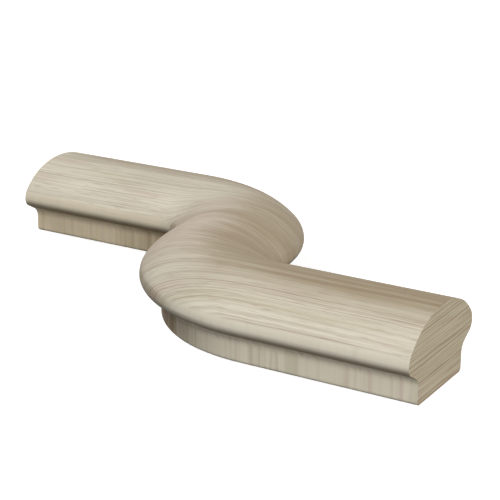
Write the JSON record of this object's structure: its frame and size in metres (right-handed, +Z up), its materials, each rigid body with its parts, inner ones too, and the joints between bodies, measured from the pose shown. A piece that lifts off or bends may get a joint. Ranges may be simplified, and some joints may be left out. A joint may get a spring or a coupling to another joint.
{
  "type": "s-turn handrail fitting",
  "caption": "One-piece wooden handrail fitting: a moulded section runs through two opposite quarter turns with a short straight leg at each end, square-cut ends and a flat underside.",
  "frame": {"origin": "middle of the S, on the flat underside", "axes": "+X along the two legs, out of the end that lies at -Y; +Y across the legs, towards the far leg; +Z up through the crown"},
  "size_m": [0.27, 0.165, 0.0374],
  "materials": {
    "timber": "sanded, unfinished"
  },
  "bodies": {
    "root": {"s_turn_fitting": "timber"}
  },
  "joints": []
}
